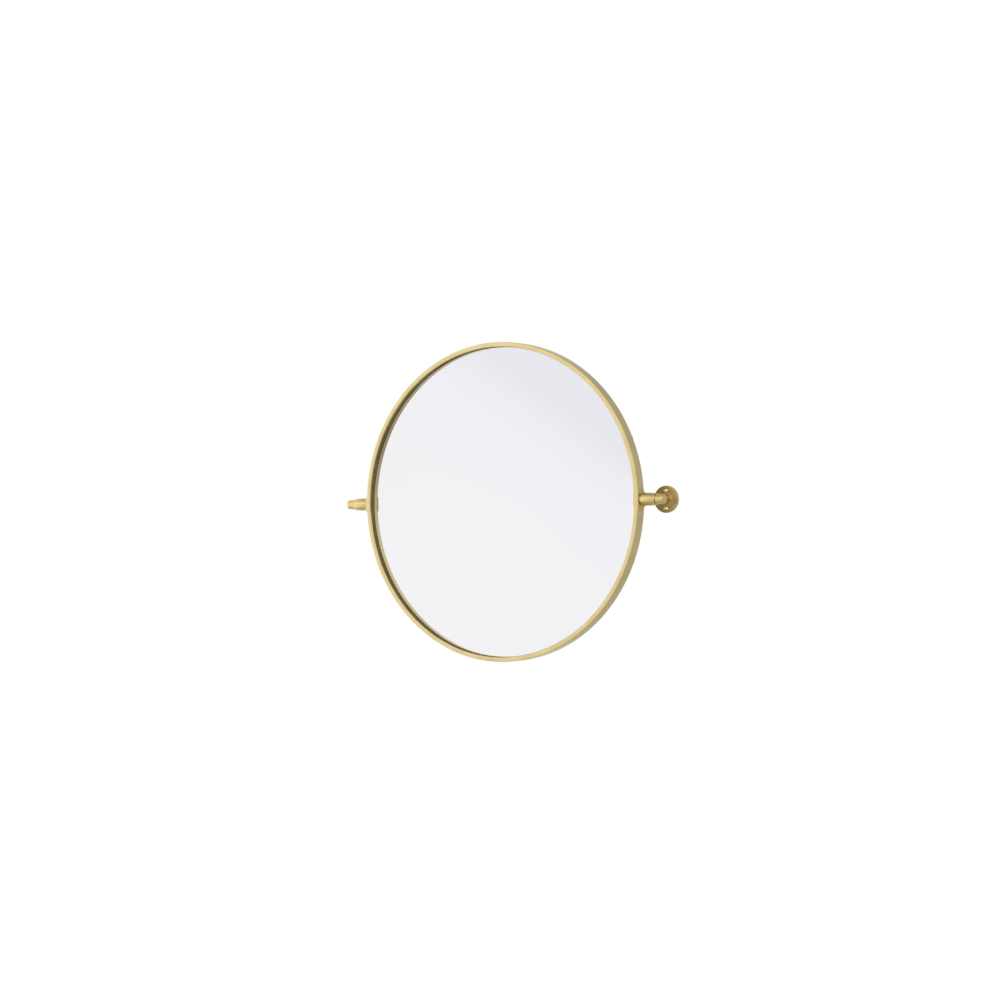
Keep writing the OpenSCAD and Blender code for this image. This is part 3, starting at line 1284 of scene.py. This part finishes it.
@dataclass
class WallBracket:
    """Post and flange that carry a hub on the wall.

    Attributes:
        post_radius: Radius of the post.
        boss_radius: Radius of the boss on the flange.
        groove_width: Width of the groove between post and boss.
        flange_thickness: Thickness of the flange's plate.
        seat_depth: Depth of the groove, at whose floor the post stands.
        rim: Radius of the rounding round the plate.
        bevel: Radius of the boss's outer edge.
        boss_fillet: Radius of the corner between boss and plate.
        groove_break: Radius of the groove's outer edge.
        hole_spacing: Distance between the two wall screws.
        hole_radius: Radius of their holes.
        sink_radius: Radius of their countersinks.
        centre_hole_radius: Radius of the hole for the post's screw.
        centre_sink_radius: Radius of its countersink, at the back.
        hole_steps: Steps round a wall screw's hole.
        steps: Steps in a full turn.
    """

    post_radius: float = 7.0 * MM
    boss_radius: float = 12.5 * MM
    groove_width: float = 1.5 * MM
    flange_thickness: float = 4.0 * MM
    seat_depth: float = 1.0 * MM
    rim: float = 1.0 * MM
    bevel: float = 0.5 * MM
    boss_fillet: float = 0.4 * MM
    groove_break: float = 0.2 * MM
    hole_spacing: float = 34.0 * MM
    hole_radius: float = 2.25 * MM
    sink_radius: float = 4.25 * MM
    centre_hole_radius: float = 3.1 * MM
    centre_sink_radius: float = 6.1 * MM
    hole_steps: int = 64
    steps: int = 128

    @property
    def spindle(self) -> Spindle:
        """The right-hand post's axis, with places along it counted from the wall."""
        low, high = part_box("right_flange")
        return Spindle.into_wall((low.x + high.x) / 2, 0.0)

    def flange(self) -> bpy.types.Object:
        """Turn the right-hand flange with its boss and groove, and drill its two countersunk holes.

        Returns:
            The flange.
        """
        low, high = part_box("right_flange")
        rim_radius = (high.x - low.x) / 2
        groove_radius = self.post_radius + self.groove_width
        top, face = low.y, -self.flange_thickness
        seat = top + self.seat_depth
        centre_sink = self.centre_sink_radius - self.centre_hole_radius
        outline = section(
            [
                Corner(self.centre_hole_radius, seat),
                Corner(groove_radius, seat),
                Corner(groove_radius, top, self.groove_break),
                Corner(self.boss_radius, top, self.bevel),
                Corner(self.boss_radius, face, self.boss_fillet),
                Corner(rim_radius, face, self.rim),
                Corner(rim_radius, high.y),
                Corner(self.centre_sink_radius, high.y),
                Corner(self.centre_hole_radius, high.y - centre_sink),
            ],
            closed=True,
        )
        flange = self.spindle.turn("right_flange_plate", outline, self.steps)
        wall_screw_hole = [
            (0.0, face - CUT_OVERRUN),
            (self.sink_radius + CUT_OVERRUN, face - CUT_OVERRUN),
            (self.hole_radius, face + self.sink_radius - self.hole_radius),
            (self.hole_radius, CUT_OVERRUN),
            (0.0, CUT_OVERRUN),
        ]
        for z in (-self.hole_spacing / 2, self.hole_spacing / 2):
            hole = Spindle.into_wall(self.spindle.centre.x, z)
            hole.bore(flange, wall_screw_hole, self.hole_steps)
        return flange

    def post(self, pivot: Pivot) -> bpy.types.Object:
        """Turn the right-hand post and cope its front end to the hub.

        Args:
            pivot: The pivot whose hub the post carries.

        Returns:
            The post.
        """
        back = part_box("right_flange")[0].y + self.seat_depth
        bar = rod(self.post_radius, pivot.centre.y, back)
        post = self.spindle.turn("right_post_bar", bar, self.steps)
        low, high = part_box("right_hub")
        barrel = [(0.0, low.x), *pivot.swell(low.x, high.x), (0.0, high.x)]
        pivot.spindle.bore(post, barrel, self.steps)
        return post

    def build(self, finishes: Finishes, pivot: Pivot) -> list[bpy.types.Object]:
        """Make the right-hand post and flange and copy them to the left.

        Args:
            finishes: The finishes to dress them with.
            pivot: The pivot whose hub the post carries.

        Returns:
            The pieces made.
        """
        flanges = fit_brass_pair(self.flange(), finishes.bracket, "wall_brackets", "flange")
        posts = fit_brass_pair(self.post(pivot), finishes.bracket, "wall_brackets", "post")
        return flanges + posts


@dataclass
class BoardClips:
    """The bent steel clips that hold the backing board, each with a pan-head screw in the back of the ring.

    Attributes:
        count: Number of clips.
        width: Width of a clip.
        foot: Length of its foot on the board.
        corner: Radius of its four corners.
        corner_steps: Steps in each corner.
        bend: Radius of its two bends.
        bend_steps: Steps in each bend.
        edge_break: Width that its edges are broken by.
        head_inset: Distance of its outer end from the ring's outer wall.
        screw_radius: Radius of the screw.
        screw_fit: Play round it in the clip.
        screw_length: Length of the screw under its head.
        head_radius: Radius of the screw's head.
        head_height: Height of the head.
        head_dome: Radius of the rounding round its top.
        recess_width: Width of each slot of the cross recess.
        recess_reach: Reach of each slot from the middle.
        recess_depth: Depth of the slots.
        recess_steps: Steps round the recess's tapered middle.
        steps: Steps in a full turn.
    """

    count: int = 8
    width: float = 10.0 * MM
    foot: float = 11.0 * MM
    corner: float = 2.0 * MM
    corner_steps: int = 6
    bend: float = 1.0 * MM
    bend_steps: int = 5
    edge_break: float = 0.15 * MM
    head_inset: float = 1.0 * MM
    screw_radius: float = 1.5 * MM
    screw_fit: float = 0.05 * MM
    screw_length: float = 7.0 * MM
    head_radius: float = 2.7 * MM
    head_height: float = 1.8 * MM
    head_dome: float = 1.2 * MM
    recess_width: float = 0.55 * MM
    recess_reach: float = 1.5 * MM
    recess_depth: float = 0.9 * MM
    recess_steps: int = 24
    steps: int = 48

    def screw_spindle(self, ring: FrameRing) -> Spindle:
        """Set up the axis of the screw at three o'clock, with places along it counted from the wall.

        Args:
            ring: The ring that the screw is driven into.

        Returns:
            The axis.
        """
        return Spindle.into_wall((ring.outer + ring.pocket) / 2, 0.0)

    def clip(self, ring: FrameRing) -> bpy.types.Object:
        """Bend the clip at three o'clock from strip and drill it.

        Args:
            ring: The ring that the clip is screwed to.

        Returns:
            The clip.
        """
        frame_back, clip_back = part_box("mirror_frame")[1].y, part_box("offset_clips")[1].y
        board_back, pane_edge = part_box("backing_board")[1].y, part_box("mirror_glass")[1].x
        sheet = clip_back - frame_back
        riser = pane_edge - sheet / 2
        middle = section(
            [
                Corner(pane_edge - sheet - self.foot, board_back + sheet / 2),
                Corner(riser, board_back + sheet / 2, self.bend),
                Corner(riser, frame_back + sheet / 2, self.bend),
                Corner(ring.outer - self.head_inset, frame_back + sheet / 2),
            ],
            closed=False,
            arc_steps=self.bend_steps,
        )
        clip = start_point("board_clip", Vector((*middle[0], -self.width / 2)))
        bpy.ops.mesh.extrude_region_move(TRANSFORM_OT_translate={"value": (0, 0, self.width)})
        bpy.ops.mesh.select_all(action="SELECT")
        for here, there in pairwise(middle):
            step = Vector((there[0] - here[0], there[1] - here[1], 0))
            bpy.ops.mesh.extrude_region_move(TRANSFORM_OT_translate={"value": step})
        bpy.ops.object.mode_set(mode="OBJECT")
        self.round_corners(clip)
        apply_modifier(clip, "SOLIDIFY", thickness=sheet, offset=0.0, use_even_offset=True)
        hole = rod(self.screw_radius + self.screw_fit, frame_back - CUT_OVERRUN, clip_back + CUT_OVERRUN)
        self.screw_spindle(ring).bore(clip, hole, self.steps)
        break_edges(clip, self.edge_break)
        return clip

    def round_corners(self, clip: bpy.types.Object) -> None:
        """Round the four corners of a clip's sheet.

        Args:
            clip: The clip, before it gets its thickness.
        """
        across = [point.co.x for point in clip.data.vertices]
        ends = {min(across), max(across)}
        pick_out(clip, "VERT", lambda point: point.co.x in ends)
        bpy.ops.mesh.bevel(
            offset=self.corner, offset_type="OFFSET", segments=self.corner_steps, affect="VERTICES"
        )
        bpy.ops.object.mode_set(mode="OBJECT")

    def screw(self, ring: FrameRing) -> bpy.types.Object:
        """Turn the pan-head screw at three o'clock and press its cross recess.

        Args:
            ring: The ring that the screw is driven into.

        Returns:
            The screw.
        """
        spindle = self.screw_spindle(ring)
        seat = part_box("offset_clips")[1].y
        top, tip = seat + self.head_height, seat - self.screw_length
        outline = section(
            [
                Corner(0.0, tip),
                Corner(self.screw_radius / 3, tip),
                Corner(self.screw_radius, tip + self.screw_radius),
                Corner(self.screw_radius, seat),
                Corner(self.head_radius, seat, self.edge_break),
                Corner(self.head_radius, top, self.head_dome),
                Corner(0.0, top),
            ],
            closed=False,
        )
        screw = spindle.turn("board_clip_screw", outline, self.steps)
        floor, above = top - self.recess_depth, top + CUT_OVERRUN
        long, wide = self.recess_reach, self.recess_width / 2
        for x, z in ((long, wide), (wide, long)):
            low = spindle.centre + Vector((-x, floor, -z))
            high = spindle.centre + Vector((x, above, z))
            cut(screw, block("cutter", low, high))
        middle = [(0.0, floor - wide), (2 * wide, floor), (2 * wide, above), (0.0, above)]
        spindle.bore(screw, middle, self.recess_steps)
        return screw

    def build(self, finishes: Finishes, ring: FrameRing) -> list[bpy.types.Object]:
        """Make one clip and one screw and set copies of them round the ring.

        Args:
            finishes: The finishes to dress them with.
            ring: The ring that they sit on.

        Returns:
            The pieces made.
        """
        made = []
        for pattern, node in ((self.clip(ring), "offset_clips"), (self.screw(ring), "clip_screws")):
            for i in range(self.count):
                copy = duplicate(pattern, f"{pattern.name}_{i + 1}")
                copy.rotation_euler.y = math.tau * (i + 0.5) / self.count
                settle(copy)
                fit(copy, finishes.zinc, "mirror", node)
                made.append(copy)
            bpy.data.objects.remove(pattern, do_unlink=True)
        return made


@dataclass
class SmallParts:
    """Saddle and post screws, washers, bushes and studs, whose shapes stay as the frame has them."""

    def build(self, finishes: Finishes, nodes: Mapping[str, bpy.types.Object]) -> list[bpy.types.Object]:
        """Dress the small parts.

        Args:
            finishes: The finishes to dress them with.
            nodes: The frame's nodes by name.

        Returns:
            The pieces dressed.
        """
        kinds = {
            "saddle_screws": finishes.screw_brass,
            "pivot_stud": finishes.zinc,
            "friction_washer": finishes.nylon,
            "bushes": finishes.nylon,
            "spring_washer": finishes.spring,
            "post_screw": finishes.zinc,
        }
        wanted = {f"{side.value}_{kind}": material for side in Side for kind, material in kinds.items()}
        return dress_nodes(nodes, wanted)


# Studio


@dataclass(frozen=True)
class Glow:
    """A soft patch of light in the surroundings, as a pale wall or a diffusing screen gives.

    Attributes:
        toward: Direction of its middle.
        strength: Brightness of its middle.
        tightness: How fast it fades away from its middle. At half its brightness a patch of 2 is 90 degrees
            wide, one of 4 about 65, one of 10 about 42 and one of 24 about 27.
    """

    toward: tuple[float, float, float]
    strength: float
    tightness: float = 4.0


@dataclass
class Studio:
    """Camera, lamp, surroundings and floor.

    Attributes:
        azimuth: Camera's angle to the right of the mirror's front, in degrees.
        elevation: Its angle above the horizon, in degrees.
        roll: Its lean, in degrees.
        distance: Its distance from the middle of the ring's front.
        lens: Its focal length, in millimetres.
        sensor: Width of its sensor, in millimetres.
        shift_x: Its sideways shift.
        shift_y: Its upward shift.
        floor_drop: How far the floor lies below the middle of the mirror.
        floor_size: Length of the floor's sides.
        floor_paint: Colour of the floor.
        soft_box_place: Where the soft box hangs.
        soft_box_size: Length of its sides.
        soft_box_power: Its power in watts.
        even_light: Brightness of the surroundings where no glow is.
        mirrored_light: Brightness of what the brass shows of the surroundings by way of the mirror.
        glows: The soft patches of light.
        backdrop_rise: Direction in which the backdrop that the mirror shows gets darker.
        backdrop_reach: How far it changes in that direction.
        backdrop_tones: Its colours along that reach.
    """

    azimuth: float = 32.068
    elevation: float = -0.572
    roll: float = -0.709
    distance: float = 4.6157
    lens: float = 87.073
    sensor: float = 36.0
    shift_x: float = 0.00249
    shift_y: float = 0.00192
    floor_drop: float = 1.5
    floor_size: float = 3.6
    floor_paint: Colour = (0.8, 0.79, 0.77, 1.0)
    soft_box_place: tuple[float, float, float] = (1.9, -0.3, 0.5)
    soft_box_size: float = 1.0
    soft_box_power: float = 3.2
    even_light: float = 0.27
    mirrored_light: float = 0.09
    glows: tuple[Glow, ...] = (
        Glow((-1.0, 0.0, 0.0), 1.4, tightness=2.0),
        Glow((-0.48, -0.8, 0.35), 0.66, tightness=24.0),
        Glow((0.0, -1.0, 0.0), 0.27, tightness=10.0),
        Glow((0.43, -0.68, 0.6), 0.7),
        Glow((-0.43, -0.68, -0.6), 0.4),
        Glow((1.0, 0.0, 0.0), 0.5),
        Glow((0.0, 1.0, 0.0), 0.46),
    )
    backdrop_rise: tuple[float, float, float] = (0.51, -0.32, 0.8)
    backdrop_reach: float = 0.057
    backdrop_tones: tuple[tuple[float, Colour], ...] = (
        (0.0, WHITE),
        (0.62, (0.981, 0.972, 1.0, 1.0)),
        (0.80, (0.958, 0.949, 0.991, 1.0)),
        (1.0, (0.909, 0.900, 0.945, 1.0)),
    )

    def camera(self, target: Vector) -> None:
        """Stand the camera where the photograph was taken from.

        Args:
            target: The point that the angles and the distance are counted from.
        """
        turn, lift, lean = (math.radians(angle) for angle in (self.azimuth, self.elevation, self.roll))
        level = Vector((math.cos(turn), math.sin(turn), 0))
        away = Vector((math.sin(turn) * math.cos(lift), -math.cos(turn) * math.cos(lift), math.sin(lift)))
        up = level.cross(-away)
        right = level * math.cos(lean) + up * math.sin(lean)
        top = -level * math.sin(lean) + up * math.cos(lean)
        data = bpy.data.cameras.new("photo_camera")
        data.lens = self.lens
        data.sensor_width = self.sensor
        data.shift_x = self.shift_x
        data.shift_y = self.shift_y
        camera = bpy.data.objects.new("photo_camera", data)
        bpy.context.scene.collection.objects.link(camera)
        facing = Matrix((right, top, away)).transposed().to_4x4()
        camera.matrix_world = Matrix.Translation(target + away * self.distance) @ facing
        bpy.context.scene.camera = camera

    def seen_straight(
        self, tree: bpy.types.NodeTree, mirrored_depth: int
    ) -> tuple[bpy.types.NodeSocket, bpy.types.NodeSocket]:
        """Tell the rays by which the backdrop itself is seen from those that only light the metal.

        Args:
            tree: The node tree of the world or of the floor.
            mirrored_depth: Depth with which a ray from the camera that the mirror turned once arrives there.

        Returns:
            A value of 1 for a ray from the camera, and a value of 1 for a ray that the mirror turned once.
        """
        path = add_node(tree, "ShaderNodeLightPath").outputs
        # Depths are whole numbers, so the limit lies halfway to the next one
        turned_once = add_node(
            tree, "ShaderNodeMath", {0: path["Ray Depth"], 1: mirrored_depth + 0.5}, operation="LESS_THAN"
        ).outputs[0]
        mirrored = add_node(
            tree, "ShaderNodeMath", {0: path["Is Singular Ray"], 1: turned_once}, operation="MULTIPLY"
        ).outputs[0]
        return path["Is Camera Ray"], mirrored

    def facing(
        self, tree: bpy.types.NodeTree, view: bpy.types.NodeSocket, toward: tuple[float, float, float]
    ) -> bpy.types.NodeSocket:
        """Measure how far a view direction turns towards another direction.

        Args:
            tree: The world's node tree.
            view: The view direction.
            toward: The other direction.

        Returns:
            The cosine of the angle between the two.
        """
        direction = Vector(toward).normalized()
        return add_node(
            tree, "ShaderNodeVectorMath", {0: view, 1: direction}, operation="DOT_PRODUCT"
        ).outputs["Value"]

    def glowing_light(self, tree: bpy.types.NodeTree, view: bpy.types.NodeSocket) -> bpy.types.NodeSocket:
        """Add up the even light and the glows, and dim what the brass shows by way of the mirror.

        Args:
            tree: The world's node tree.
            view: The view direction.

        Returns:
            The brightness of the surroundings.
        """
        light: bpy.types.NodeSocket | float = self.even_light
        for glow in self.glows:
            facing = self.facing(tree, view, glow.toward)
            ahead = add_node(tree, "ShaderNodeMath", {0: facing, 1: 0.0}, operation="MAXIMUM").outputs[0]
            soft = add_node(
                tree, "ShaderNodeMath", {0: ahead, 1: glow.tightness}, operation="POWER"
            ).outputs[0]
            light = add_node(
                tree, "ShaderNodeMath", {0: soft, 1: glow.strength, 2: light}, operation="MULTIPLY_ADD"
            ).outputs[0]
        singular = add_node(tree, "ShaderNodeLightPath").outputs["Is Singular Ray"]
        return add_node(
            tree, "ShaderNodeMix", {"Factor": singular, 2: light, 3: self.mirrored_light}, data_type="FLOAT"
        ).outputs[0]

    def surroundings(self) -> None:
        """Hang a white backdrop for what is seen straight or mirrored, and glows that light the brass."""
        world = bpy.data.worlds.new("studio")
        bpy.context.scene.world = world
        world.use_nodes = True
        tree = world.node_tree
        tree.nodes.clear()
        view = add_node(tree, "ShaderNodeTexCoord").outputs["Generated"]
        light = self.glowing_light(tree, view)
        rise = self.facing(tree, view, self.backdrop_rise)
        place = add_node(
            tree, "ShaderNodeMapRange", {"Value": rise, "From Max": self.backdrop_reach}
        ).outputs[0]
        backdrop = add_node(tree, "ShaderNodeValToRGB", {"Fac": place})
        set_stops(backdrop, self.backdrop_tones)
        direct, mirrored = self.seen_straight(tree, mirrored_depth=2)
        behind = add_node(
            tree,
            "ShaderNodeMix",
            {"Factor": mirrored, 6: light, 7: backdrop.outputs["Color"]},
            data_type="RGBA",
        ).outputs[2]
        colour = add_node(
            tree, "ShaderNodeMix", {"Factor": direct, 6: behind, 7: WHITE}, data_type="RGBA"
        ).outputs[2]
        background = add_node(tree, "ShaderNodeBackground", {"Color": colour, "Strength": 1.0})
        add_node(tree, "ShaderNodeOutputWorld", {"Surface": background.outputs[0]})

    def soft_box(self, target: Vector) -> None:
        """Hang the soft box so that it faces the mirror.

        Args:
            target: The point that it faces.
        """
        place = Vector(self.soft_box_place)
        data = bpy.data.lights.new("side_soft_box", "AREA")
        data.shape = "SQUARE"
        data.size = self.soft_box_size
        data.energy = self.soft_box_power
        lamp = bpy.data.objects.new("side_soft_box", data)
        bpy.context.scene.collection.objects.link(lamp)
        lamp.location = place
        lamp.rotation_mode = "QUATERNION"
        lamp.rotation_quaternion = (target - place).to_track_quat("-Z", "Y")

    def floor(self) -> None:
        """Lay a plain pale floor well below the mirror, which looks white where it is seen straight."""
        clear_bench()
        bpy.ops.mesh.primitive_plane_add(size=self.floor_size, location=(0, 0, -self.floor_drop))
        floor = bpy.context.view_layer.objects.active
        floor.name = "studio_floor"
        settle(floor)
        material, tree, _ = new_material("pale_floor")
        direct, mirrored = self.seen_straight(tree, mirrored_depth=1)
        straight = add_node(tree, "ShaderNodeMath", {0: direct, 1: mirrored}, operation="MAXIMUM").outputs[0]
        paint = add_node(tree, "ShaderNodeBsdfDiffuse", {"Color": self.floor_paint}).outputs[0]
        white = add_node(tree, "ShaderNodeEmission", {"Color": WHITE, "Strength": 1.0}).outputs[0]
        mixed = add_node(tree, "ShaderNodeMixShader", {0: straight, 1: paint, 2: white}).outputs[0]
        add_node(tree, "ShaderNodeOutputMaterial", {"Surface": mixed})
        dress(floor, material)

    def build(self, target: Vector) -> None:
        """Set up the whole studio round the mirror.

        Args:
            target: Middle of the ring's front.
        """
        bpy.context.scene.view_settings.view_transform = "Standard"
        self.camera(target)
        self.surroundings()
        self.soft_box(target)
        self.floor()


def report(pieces: Iterable[bpy.types.Object]) -> None:
    """Log each piece with its size in millimetres and its number of faces.

    Args:
        pieces: The pieces to log.
    """
    for piece in pieces:
        size = ", ".join(f"{length / MM:.1f}" for length in piece.dimensions)
        log.info("%s: %s mm, %d faces", piece.name, size, len(piece.data.polygons))


def main() -> None:
    """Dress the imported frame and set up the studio."""
    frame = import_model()
    tilt_joint = next(joint for joint in frame["joints"] if joint["name"] == "mirror_tilt")
    ring = FrameRing()
    pivot = Pivot(centre=Vector(tilt_joint["pos_m"]))
    bracket = WallBracket()

    finishes = Finishes.mix(pivot.centre, bracket.spindle.centre)
    report(ring.build(finishes))
    report(GlassPack().build(finishes, frame["nodes"]))
    report(Saddle().build(finishes, ring))
    report(pivot.build(finishes))
    report(bracket.build(finishes, pivot))
    report(BoardClips().build(finishes, ring))
    report(SmallParts().build(finishes, frame["nodes"]))
    Studio().build(Vector((0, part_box("mirror_frame")[0].y, 0)))

    bpy.context.view_layer.update()


if __name__ == "__main__":
    main()
